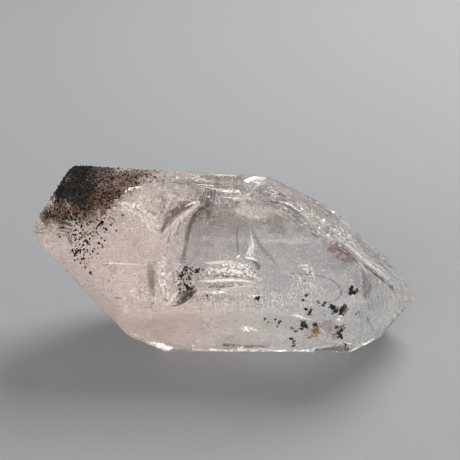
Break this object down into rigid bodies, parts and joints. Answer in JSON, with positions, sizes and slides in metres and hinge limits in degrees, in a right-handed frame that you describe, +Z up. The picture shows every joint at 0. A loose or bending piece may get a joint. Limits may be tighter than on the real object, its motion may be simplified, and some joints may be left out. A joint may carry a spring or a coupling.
{
  "type": "himalayan quartz crystal",
  "caption": "Doubly terminated quartz crystal lying on a prism face, milky at one end and clear at the other, with a wide conchoidal scar on its front and dark mineral inclusions inside.",
  "frame": {"origin": "middle of the bounding box's underside, on the resting face", "axes": "+Z up from the resting face, +X along the crystal's long axis towards its pointed end, -Y towards the front face with the conchoidal scar"},
  "size_m": [0.079, 0.0336, 0.0358],
  "materials": {
    "quartz": "clear to milky natural quartz, glossy where broken, frosted on the growth faces",
    "dark_inclusions": "matt black mineral grains inside the quartz",
    "iron_stain": "matt brown to ochre iron oxide",
    "veil": "white to silvery healed cracks and liquid bubbles inside the quartz"
  },
  "bodies": {
    "root": {"quartz_crystal": "quartz"}
  },
  "joints": []
}
